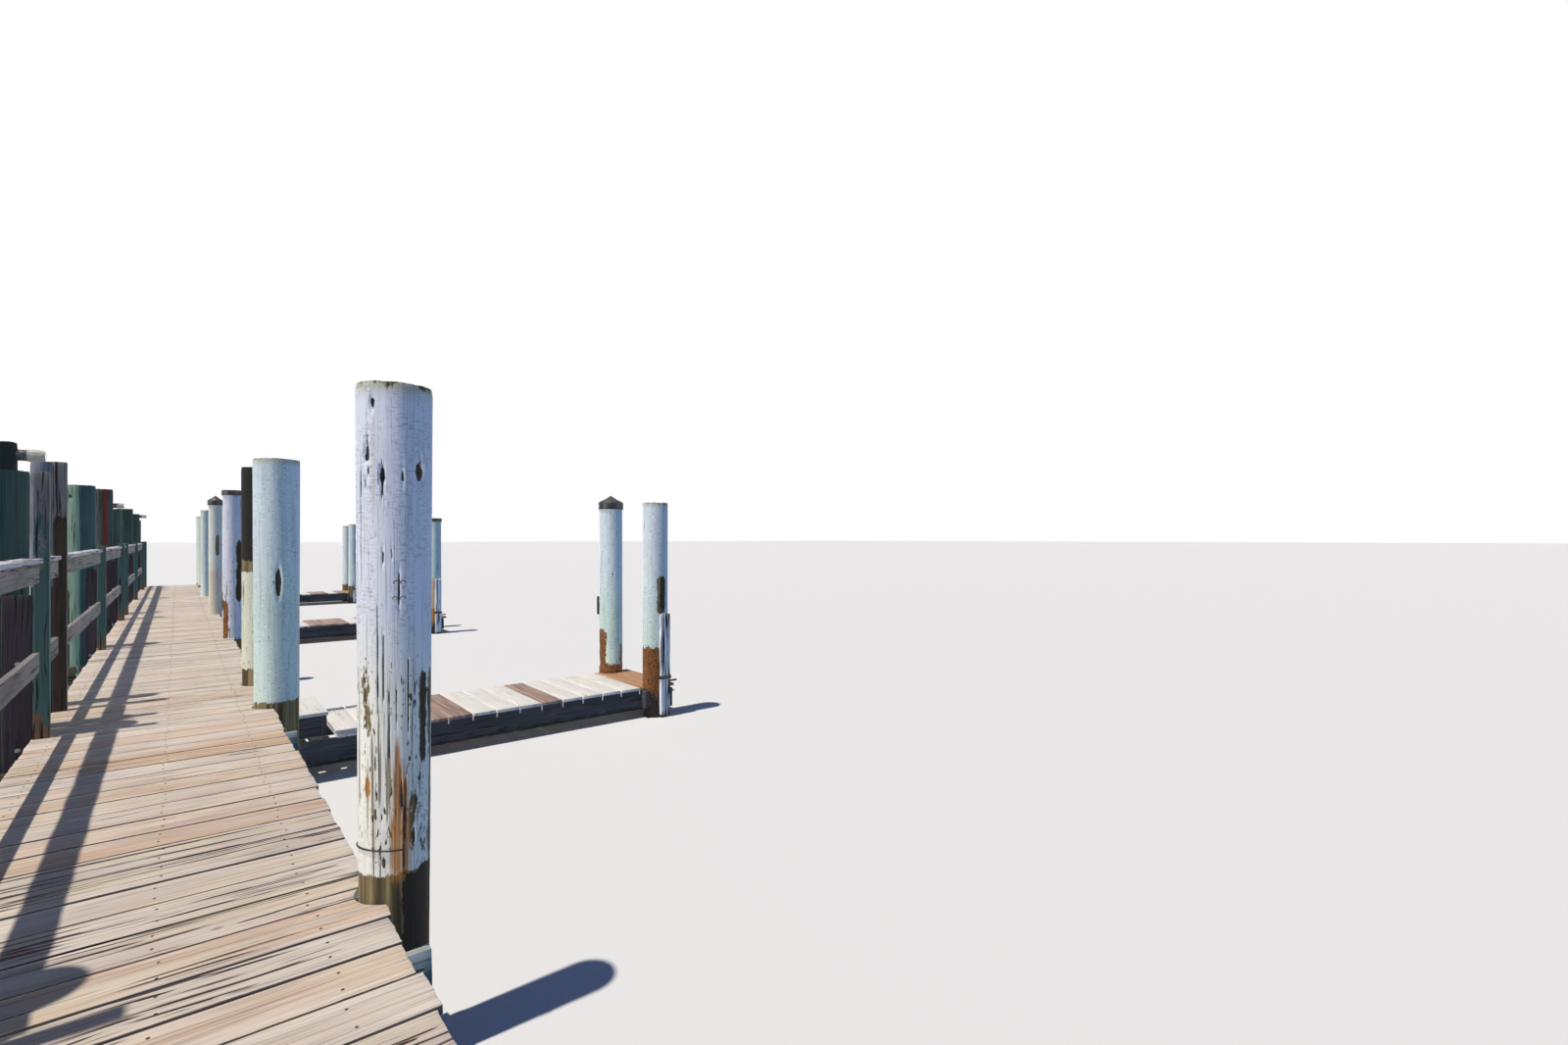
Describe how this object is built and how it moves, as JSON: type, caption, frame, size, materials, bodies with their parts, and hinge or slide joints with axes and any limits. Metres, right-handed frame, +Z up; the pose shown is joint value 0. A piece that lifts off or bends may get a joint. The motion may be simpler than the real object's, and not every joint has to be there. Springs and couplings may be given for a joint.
{
  "type": "wooden jetty",
  "caption": "Narrow boarded timber walkway on round piles, with an open rail fence along one side and lower finger piers between the berths on the other.",
  "frame": {"origin": "middle of the whole jetty's footprint, on the water line, where the piles are cut off", "axes": "+Y along the walkway away from the near end, +X across it towards the finger piers, +Z up"},
  "size_m": [6.05, 31.96, 3.14],
  "materials": {
    "deck_boards": "sun-bleached bare softwood with dark grain checks",
    "framing": "damp brown bare timber",
    "painted_piles": "pale blue-white paint, peeling and scuffed, on round logs",
    "green_piles": "green preservative, dulled and dark below",
    "fence_timber": "grey-green weathered bare timber",
    "fence_cap": "bleached white-grey bare timber",
    "dark_planks": "dark purple-brown tarred planks",
    "finger_boards": "worn white paint with bare boards between",
    "finger_beams": "wet black-grey timber",
    "step_paint": "worn white paint",
    "step_sides": "dark painted timber",
    "fender_wood": "split white-grey boards",
    "pile_hoods": "dull black",
    "lamp_brackets": "dull dark paint",
    "lamp_jars": "ribbed cream lens"
  },
  "bodies": {
    "root": {"deck_bay_1": "deck_boards", "deck_bay_2": "deck_boards", "deck_bay_3": "deck_boards", "deck_bay_4": "deck_boards", "deck_bay_5": "deck_boards", "deck_bay_6": "deck_boards", "finger_deck_1": "finger_boards", "finger_deck_2": "finger_boards", "finger_deck_3": "finger_boards", "finger_beams_1": "finger_beams", "finger_beams_2": "finger_beams", "finger_beams_3": "finger_beams", "finger_bearers_1": "finger_beams", "finger_bearers_2": "finger_beams", "finger_bearers_3": "finger_beams", "finger_piles_1": "painted_piles", "finger_piles_2": "painted_piles", "finger_piles_3": "painted_piles", "step_tread_1": "step_paint", "step_tread_2": "step_paint", "step_tread_3": "step_paint", "step_box_1": "step_sides", "step_box_2": "step_sides", "step_box_3": "step_sides", "stringer_left": "framing", "stringer_middle": "framing", "stringer_right": "framing", "bent_caps": "framing", "right_piles": "painted_piles", "left_piles": "green_piles", "cone_hoods": "pile_hoods", "flat_hoods": "pile_hoods", "fence_posts": "fence_timber", "top_rail": "fence_timber", "middle_rail": "fence_timber", "rail_cap": "fence_cap", "pile_planks": "dark_planks", "fender_boards": "fender_wood", "lamp_brackets": "lamp_brackets", "lamp_jars": "lamp_jars"}
  },
  "joints": []
}
